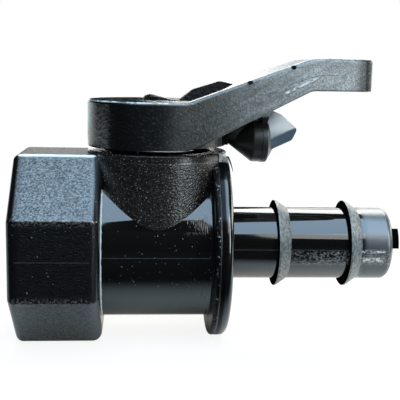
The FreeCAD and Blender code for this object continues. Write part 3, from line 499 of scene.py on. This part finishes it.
def lug_plastic():
    """A dull flare with a brownish cast, kept black and with little gloss next to the arm as painted
    shade.
    """
    shader = Shader("lug plastic", BLACK, 0.42, PLASTIC_IOR)
    # Painted shade: black, with little gloss, near the arm and high up beside it
    clear_of_arm_shade = shader.ramp(shader.x, 34 * MM, 38 * MM)
    below_arm = shader.ramp(shader.z, 19.5 * MM, 20.5 * MM, 1.0, 0.1)
    shader.gloss(shader.times(shader.ramp(shader.x, 34 * MM, 38 * MM, 0.02, 0.5), below_arm))
    shader.colour(shader.mix_colour(clear_of_arm_shade, BLACK, BROWNISH))
    shader.bump(shader.noise(0.3 * MM, 2.0, (0.3, 1, 1), 12.0), 0.04 * MM)
    return shader.material


def nose_plastic():
    """The tongue, tinted blue as a painted reflection of the sky, with its gloss cut lower down as
    painted shade.
    """
    shader = Shader("sky-tinted lug plastic", SKY_REFLECTION_BLUE, 0.22, PLASTIC_IOR)
    shader.gloss(shader.ramp(shader.z, 18.6 * MM, 20.4 * MM, 0.15, 0.5))
    with_waves(shader, 1.5 * MM, 0.03 * MM)
    return shader.material


def unlit_plastic():
    """The barbs' steps and the gate mark, which the photograph shows as black as a shadow."""
    shader = Shader("unlit plastic", UNLIT, 0.6, DULL_IOR)
    shader.gloss(0.0)
    return shader.material


def matte_plastic():
    """The torn, dull skin of the rib in the top pocket and of the stem's head."""
    shader = Shader("dull black plastic", BLACK, 0.5, DULL_IOR)
    shader.bump(shader.noise(0.3 * MM, 2.0), 0.2 * MM)
    return shader.material


def inner_plastic(name, colour, roughness):
    """The plain plastic or rubber of a piece inside the valve."""
    shader = Shader(name, colour, roughness, 1.5)
    with_waves(shader, 0.8 * MM, 0.01 * MM)
    return shader.material


# Pieces

def link(name, mesh):
    obj = bpy.data.objects.new(name.replace(" ", "_"), mesh)
    bpy.context.scene.collection.objects.link(obj)
    return obj


def smooth(mesh, degrees):
    """Shades a mesh smooth, except over edges sharper than an angle."""
    sharp = math.radians(degrees)
    work = bmesh.new()
    work.from_mesh(mesh)
    bmesh.ops.remove_doubles(work, verts=work.verts, dist=0.0005 * MM)
    for face in work.faces:
        face.smooth = True
    for edge in work.edges:
        edge.smooth = len(edge.link_faces) != 2 or edge.calc_face_angle(0.0) < sharp
    work.to_mesh(mesh)
    work.free()


def dressed(node, name, body, choices, degrees=32):
    """A smooth-shaded copy of a solid that stands for it, with a material for each of its regions.

    choices is a list of (material, test), and the first test that holds for a face's centre decides."""
    mesh = frame["nodes"][node].data.copy()
    mesh.materials.clear()
    for layer in [a for a in mesh.attributes if a.name == "custom_normal"]:
        mesh.attributes.remove(layer)
    smooth(mesh, degrees)
    for material, _ in choices:
        mesh.materials.append(material)
    for face in mesh.polygons:
        centre = face.center
        face.material_index = next(i for i, (_, test) in enumerate(choices) if test(centre))
    obj = link(name, mesh)
    even = obj.modifiers.new("even", "WEIGHTED_NORMAL")
    even.keep_sharp = True
    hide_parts(node)
    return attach(obj, body)


def from_pipe(centre):
    """Distance from the axis of the socket, barrel and tail."""
    return math.hypot(centre.y, centre.z)


def from_stem(centre):
    """Distance from the stem's axis, about which the handle turns."""
    return math.hypot(centre.x - STEM_X, centre.y)


def anywhere(centre):
    return True


HAIR = 0.05 * MM  # how far a face's centre may lie off the surface that it is on


def dress_body():
    def outside_socket(c):
        return c.x < SOCKET_LENGTH + HAIR and from_pipe(c) > THREAD_ROOT_RADIUS + 0.8 * MM

    def on_tower(c):
        return abs(from_stem(c) - TOWER_RADIUS) < HAIR and c.z > 4.2 * MM

    def on_tower_top(c):
        return c.z > TOWER_TOP - 0.5 * MM

    def on_flange(c):
        return c.x > BODY_FLANGE_X - 0.6 * MM and from_pipe(c) > BARREL_RADIUS + HAIR

    choices = [
        (tower_plastic(), lambda c: on_tower(c) or on_tower_top(c)),
        (weld_plastic(), on_flange),
        (socket_plastic(), outside_socket),
        (glossy_plastic(), anywhere),
    ]
    return dressed("body", "valve body", "valve_body", choices)


def dress_tail():
    def on_flange(c):
        return c.x < TAIL_ROOT_X + HAIR and from_pipe(c) > TAIL_RADIUS + 0.6 * MM

    def on_barb(c):
        near = any(start + 0.02 * MM < c.x < start + BARB_WIDTH + 0.01 * MM for start in BARB_STARTS)
        return near and from_pipe(c) > TAIL_RADIUS + 0.02 * MM

    def on_gate_mark(c):
        return c.x > CAD_HIGH[0] - GATE_MARK_HEIGHT

    def on_step(c):
        return any(abs(c.x - start) < 0.02 * MM for start in BARB_STARTS)

    choices = [
        (unlit_plastic(), lambda c: on_gate_mark(c) or on_step(c)),
        (flange_plastic(), on_flange),
        (barb_plastic(), on_barb),
        (tail_plastic(), anywhere),
    ]
    return dressed("hose_tail", "barbed hose tail", "valve_body", choices)


def dress_handle(dull):
    def on_lug(c):
        return STEM_X + 10.5 * MM < c.x < STEM_X + 24.2 * MM and c.z < HUB_BOTTOM + 0.3 * (c.x - STEM_X)

    def on_nose(c):
        from_axis = math.hypot(c.y, c.z - LUG_AXIS)
        dome_edge = LUG_RIM_RADIUS - LUG_DOME_SLOPE * (c.x - LUG_BACK)
        return on_lug(c) and c.x > LUG_BACK and from_axis > dome_edge + 0.12 * MM and abs(c.y) < 4 * MM

    def on_rib(c):
        return abs(c.y) < 1.15 * MM and c.z > HUB_TOP + 0.02 * MM and c.x < STEM_X + 12.6 * MM

    choices = [
        (dull, on_rib),
        (nose_plastic(), on_nose),
        (lug_plastic(), on_lug),
        (handle_plastic(), anywhere),
    ]
    return dressed("handle", "lever handle", "turning_set", choices)


def dress_insides(dull):
    rubber = inner_plastic("seal rubber", RUBBER, 0.6)
    pale = inner_plastic("seat plastic", SEAT, 0.35)
    shiny = inner_plastic("ball plastic", BALL, 0.1)
    dressed("stem", "stem with snap head", "turning_set", [(dull, anywhere)])
    dressed("ball", "ported ball", "turning_set", [(shiny, anywhere)])
    for node, name in (("inlet_seat", "inlet seat ring"), ("outlet_seat", "outlet seat ring")):
        dressed(node, name, "valve_body", [(pale, anywhere)])
    dressed("inlet_gasket", "flat gasket", "valve_body", [(rubber, anywhere)])
    for level in ("lower", "upper"):
        name = f"{level} stem seal"
        dressed(f"stem_oring_{level}", name, "turning_set", [(rubber, anywhere)])


def swept(name, rings, material, body, closed=False):
    """A closed tube through rings of points. An open run gets an end cap at each end."""
    work = bmesh.new()
    rows = [[work.verts.new(p) for p in ring] for ring in rings]
    count = len(rows[0])
    spans = list(zip(rows, rows[1:])) + ([(rows[-1], rows[0])] if closed else [])
    for a, b in spans:
        for i in range(count):
            work.faces.new((a[i], a[(i + 1) % count], b[(i + 1) % count], b[i]))
    if not closed:
        work.faces.new(list(reversed(rows[0])))
        work.faces.new(rows[-1])
    bmesh.ops.recalc_face_normals(work, faces=work.faces)
    mesh = bpy.data.meshes.new(name)
    work.to_mesh(mesh)
    work.free()
    mesh.materials.append(material)
    smooth(mesh, 40)
    obj = link(name, mesh)
    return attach(obj, body)


def round_pipe(x, radius, angle):
    """A point on a circle about the pipe's axis."""
    return x, radius * math.cos(angle), radius * math.sin(angle)


def socket_thread(material):
    """The female thread: a helical ridge on the socket's wall that runs out at both ends."""
    steps = 72
    fade_steps = 0.4 * steps
    turns = (THREAD_END - THREAD_START) / THREAD_PITCH
    rings = []
    for i in range(int(turns * steps) + 1):
        angle = 2 * math.pi * i / steps
        x = THREAD_START + THREAD_PITCH * i / steps
        fade = min(1.0, i / fade_steps, (turns * steps - i) / fade_steps)
        crest = THREAD_ROOT_RADIUS - max(fade, 0.05) * (THREAD_ROOT_RADIUS - THREAD_CREST_RADIUS)
        root = THREAD_ROOT_RADIUS + 0.05 * MM
        section = [(-0.42, root), (-0.13, crest), (0.13, crest), (0.42, root)]
        rings.append([round_pipe(x + along * THREAD_PITCH, radius, angle) for along, radius in section])
    return swept("socket thread", rings, material, "valve_body")


def parting_line(name, start, end, radius, side, material, height):
    """The mould's witness line at the height of the pipe's axis: a thin uneven ridge along X."""
    count = max(int((end - start) / (0.35 * MM)), 8)
    rings = []
    for i in range(count + 1):
        x = start + (end - start) * i / count
        wobble = noise.noise(Vector((x / (0.7 * MM), side * 3.1, radius * 900)))
        proud = height * (0.75 + 0.45 * wobble)
        half = 0.06 * MM * (1 + 0.4 * wobble)
        rings.append([
            (x, side * (radius - 0.04 * MM), -half),
            (x, side * (radius + proud), -half * 0.3),
            (x, side * (radius + proud), half * 0.3),
            (x, side * (radius - 0.04 * MM), half),
        ])
    return swept(name, rings, material, "valve_body")


def parting_lines(material):
    stretches = (
        ("socket", SOCKET_MOUTH_ROUND, SOCKET_LENGTH - SOCKET_BACK_ROUND, SOCKET_HALF, 0.05 * MM),
        ("barrel", SOCKET_LENGTH + 0.05 * MM, BODY_FLANGE_X - 0.5 * MM, BARREL_RADIUS, 0.06 * MM),
        ("tail root", TAIL_ROOT_X + 0.5 * MM, BARB_STARTS[0], TAIL_RADIUS, 0.05 * MM),
        ("tail middle", BARB_STARTS[0] + BARB_WIDTH, BARB_STARTS[1], TAIL_RADIUS, 0.05 * MM),
        ("tail end", BARB_STARTS[1] + BARB_WIDTH, CAD_HIGH[0] - 2.2 * MM, TAIL_RADIUS, 0.05 * MM),
    )
    for name, start, end, radius, height in stretches:
        for side, where in ((-1, "front"), (1, "back")):
            parting_line(f"{name} parting line {where}", start, end, radius, side, material, height)


def root_highlight_ring(material):
    """A ragged pale ring in the corner where the barrel leaves the socket, which paints the highlight
    in that corner.
    """
    steps = 360
    rings = []
    for i in range(steps):
        angle = 2 * math.pi * i / steps
        at = Vector((math.cos(angle) * 12, math.sin(angle) * 12, 7.5))
        size = (0.15 + 0.08 * noise.noise(at * 1.3)) * MM
        x, radius = SOCKET_LENGTH - 0.02 * MM, BARREL_RADIUS + 0.02 * MM
        section = [(0, -size), (1.6 * size, -size), (0.7 * size, 0.9 * size), (0, 1.6 * size)]
        rings.append([round_pipe(x + along, radius + out, angle) for along, out in section])
    return swept("barrel root highlight ring", rings, material, "valve_body", closed=True)


def weld_flash(material):
    """The rough bead that the weld squeezed out between the flange's halves."""
    steps = 420
    sides = 6
    rings = []
    for i in range(steps):
        angle = 2 * math.pi * i / steps
        at = Vector((math.cos(angle) * 14, math.sin(angle) * 14, 0.5))
        swell = 0.5 + 0.9 * noise.noise(at * 1.7)
        shift = 0.10 * MM * noise.noise(at * 2.3 + Vector((9, 0, 0)))
        size = (0.13 + 0.08 * max(swell, 0)) * MM
        middle = FLANGE_RADIUS - 0.02 * MM - size
        ring = []
        for j in range(sides):
            turn = 2 * math.pi * j / sides
            x = JOINT_X + shift + 1.3 * size * math.sin(turn)
            ring.append(round_pipe(x, middle + size * math.cos(turn), angle))
        rings.append(ring)
    return swept("weld flash", rings, material, "valve_body", closed=True)


def witness_line(material, side, where):
    """The low uneven bead where two parts of the mould met, along one flank of the arm."""
    points = [Vector((x, side * y, z)) * MM for x, y, z in WITNESS_LINE]
    rings = []
    for a, b in zip(points, points[1:]):
        for i in range(12):
            at = a.lerp(b, i / 12)
            swell = 0.7 + 0.6 * noise.noise(at * 1100)
            high = 0.11 * MM * swell
            out = 0.05 * MM * swell
            rings.append([
                at + Vector((0, -side * 0.05 * MM, -high)),
                at + Vector((0, side * out, -0.3 * high)),
                at + Vector((0, side * out, 0.3 * high)),
                at + Vector((0, -side * 0.05 * MM, high)),
            ])
    return swept(f"arm witness line {where}", rings, material, "turning_set")


def flash_whisker(material):
    """A sliver of flash that hangs from the corner of the flange's cap."""
    start = Vector((34.95, -3.0, 15.35)) * MM
    middle = Vector((35.55, -3.0, 14.3)) * MM
    end = Vector((35.95, -3.0, 12.7)) * MM
    count = 10
    rings = []
    for i in range(count + 1):
        t = i / count
        at = start * (1 - t) ** 2 + middle * 2 * t * (1 - t) + end * t ** 2
        wide = (0.16 * (1 - t) + 0.04) * MM
        rings.append([
            at + Vector((-wide, -0.4 * wide, 0)),
            at + Vector((wide, -0.4 * wide, 0)),
            at + Vector((wide, 0.4 * wide, 0)),
            at + Vector((-wide, 0.4 * wide, 0)),
        ])
    return swept("flash whisker", rings, material, "valve_body")


# Stage

def camera():
    """The photograph's own view."""
    azimuth = math.radians(CAMERA_AZIMUTH)
    elevation = math.radians(CAMERA_ELEVATION)
    roll = math.radians(CAMERA_ROLL)
    back = Vector((
        math.sin(azimuth) * math.cos(elevation),
        -math.cos(azimuth) * math.cos(elevation),
        math.sin(elevation),
    ))
    right = (-back).cross(Vector((0, 0, 1))).normalized()
    up = right.cross(-back)
    turned_right = right * math.cos(roll) + up * math.sin(roll)
    turned_up = up * math.cos(roll) - right * math.sin(roll)
    data = bpy.data.cameras.new("camera")
    data.lens = CAMERA_LENS
    data.sensor_width = 36
    data.shift_x, data.shift_y = CAMERA_SHIFT
    data.clip_start = 0.005
    obj = bpy.data.objects.new("camera", data)
    bpy.context.scene.collection.objects.link(obj)
    turn = Matrix((turned_right, turned_up, back)).transposed().to_4x4()
    obj.matrix_world = Matrix.Translation(CAMERA_TARGET + back * CAMERA_DISTANCE) @ turn
    bpy.context.scene.camera = obj


def softbox(name, azimuth, elevation, size, radiance, colour):
    """A rectangular lamp that looks at the valve.

    Azimuth 0 is in front, 90 on the hose side and 180 behind."""
    a, e = math.radians(azimuth), math.radians(elevation)
    aim = Vector((math.sin(a) * math.cos(e), -math.cos(a) * math.cos(e), math.sin(e)))
    data = bpy.data.lights.new(name, "AREA")
    data.shape = "RECTANGLE"
    data.size, data.size_y = size
    data.color = colour
    data.energy = radiance * math.pi * size[0] * size[1]
    obj = bpy.data.objects.new(name.replace(" ", "_"), data)
    bpy.context.scene.collection.objects.link(obj)
    obj.location = LAMP_TARGET + aim * LAMP_DISTANCE
    obj.rotation_euler = aim.to_track_quat("Z", "Y").to_euler()
    obj.visible_camera = False


WHITE = (1.0, 1.0, 0.98)
DAYLIGHT = (0.88, 0.97, 1.0)
SKY = (0.54, 0.77, 1.0)
LEAVES = (0.84, 1.0, 0.97)

# Each lamp's name, its azimuth, elevation, width and height in degrees, its radiance and its colour
LAMPS = (
    ("sky in front", 0, 48, 80, 22, 4.2, SKY),
    ("sky overhead", 0, 76.5, 64, 35, 4.2, SKY),
    ("high window behind", 154, 44, 32, 22, 7.0, WHITE),
    ("high window behind the inlet", -173, 44, 24, 22, 7.0, WHITE),
    ("low window behind", 153, 22, 30, 20, 2.4, WHITE),
    ("low window behind the inlet", -173, 18, 24, 28, 4.6, WHITE),
    ("tall window", 45, 17, 12, 40, 8.5, DAYLIGHT),
    ("wall in front", 20, 29, 14, 14, 2.6, WHITE),
    ("hose side", 102, 14, 32, 12, 6.5, WHITE),
    ("hose side behind", 135, 10, 32, 20, 1.6, WHITE),
    ("inlet side behind", -155, 3, 30, 10, 1.2, LEAVES),
    ("inlet side", -132, 3, 16, 10, 0.8, LEAVES),
)
LAMP_TARGET = Vector((STEM_X + 8 * MM, 0, 4 * MM))
LAMP_DISTANCE = 0.40
ROOM_LEVEL = 0.02


def lights():
    """Lamps where the photograph's reflections show windows and bright walls."""
    for name, azimuth, elevation, width, height, radiance, colour in LAMPS:
        size = [2 * LAMP_DISTANCE * math.tan(math.radians(angle) / 2) for angle in (width, height)]
        softbox(name, azimuth, elevation, size, radiance, colour)


def world():
    """White to the camera, and nearly black in the plastic."""
    scene_world = bpy.data.worlds.new("studio")
    bpy.context.scene.world = scene_world
    scene_world.use_nodes = True
    tree = scene_world.node_tree
    background = tree.nodes["Background"]
    path = tree.nodes.new("ShaderNodeLightPath")
    level = tree.nodes.new("ShaderNodeMapRange")
    level.inputs["To Min"].default_value = ROOM_LEVEL
    level.inputs["To Max"].default_value = 1.0
    tree.links.new(path.outputs["Is Camera Ray"], level.inputs["Value"])
    background.inputs["Color"].default_value = (1, 1, 1, 1)
    tree.links.new(level.outputs[0], background.inputs["Strength"])


def floor():
    """A floor that looks white to the camera and keeps a soft shadow near the valve.

    It is pale under the valve, and dark in front, where the plastic shows a black room."""
    half = 0.9
    mesh = bpy.data.meshes.new("floor")
    corners = [(-half, -half), (half, -half), (half, half), (-half, half)]
    mesh.from_pydata([(x, y, CAD_LOW[2]) for x, y in corners], [], [(0, 1, 2, 3)])
    obj = link("floor", mesh)
    shader = Shader("pale floor", (0.8, 0.8, 0.8), 0.8, DULL_IOR)
    tree = shader.tree
    shader.gloss(0.0)
    pale = shader.ramp(shader.y, -23 * MM, -9 * MM)
    shader.colour(shader.mix_colour(pale, FLOOR_DARK, FLOOR_PALE))
    reach = shader.distance(shader.math("SUBTRACT", shader.x, 32 * MM), shader.y)
    near = shader.times(shader.ramp(reach, 45 * MM, 110 * MM, 1.0, 0.0), pale)
    share = shader.math("SUBTRACT", 1.0, shader.times(near, 0.15))
    path = tree.nodes.new("ShaderNodeLightPath")
    glow = tree.nodes.new("ShaderNodeEmission")
    glow.inputs["Strength"].default_value = 1.04
    mix = tree.nodes.new("ShaderNodeMixShader")
    tree.links.new(shader.times(share, path.outputs["Is Camera Ray"]), mix.inputs["Fac"])
    tree.links.new(shader.surface.outputs[0], mix.inputs[1])
    tree.links.new(glow.outputs[0], mix.inputs[2])
    tree.links.new(mix.outputs[0], tree.nodes["Material Output"].inputs["Surface"])
    mesh.materials.append(shader.material)


dress_body()
dress_tail()
dull_black = matte_plastic()
dress_handle(dull_black)
dress_insides(dull_black)
fine_black = fine_plastic()
# The barbs' pale plastic, whose paleness is a painted reflection, also colours the arm's witness lines
pale_barb_plastic = barb_plastic()
socket_thread(glossy_plastic())
parting_lines(fine_black)
weld_flash(fine_black)
flash_whisker(fine_black)
# A pale ring that paints the highlight at the barrel's root
root_highlight_ring(root_highlight_plastic())
for side, where in ((-1, "front"), (1, "back")):
    witness_line(pale_barb_plastic, side, where)
camera()
lights()
world()
floor()
bpy.context.scene.view_settings.view_transform = "Standard"
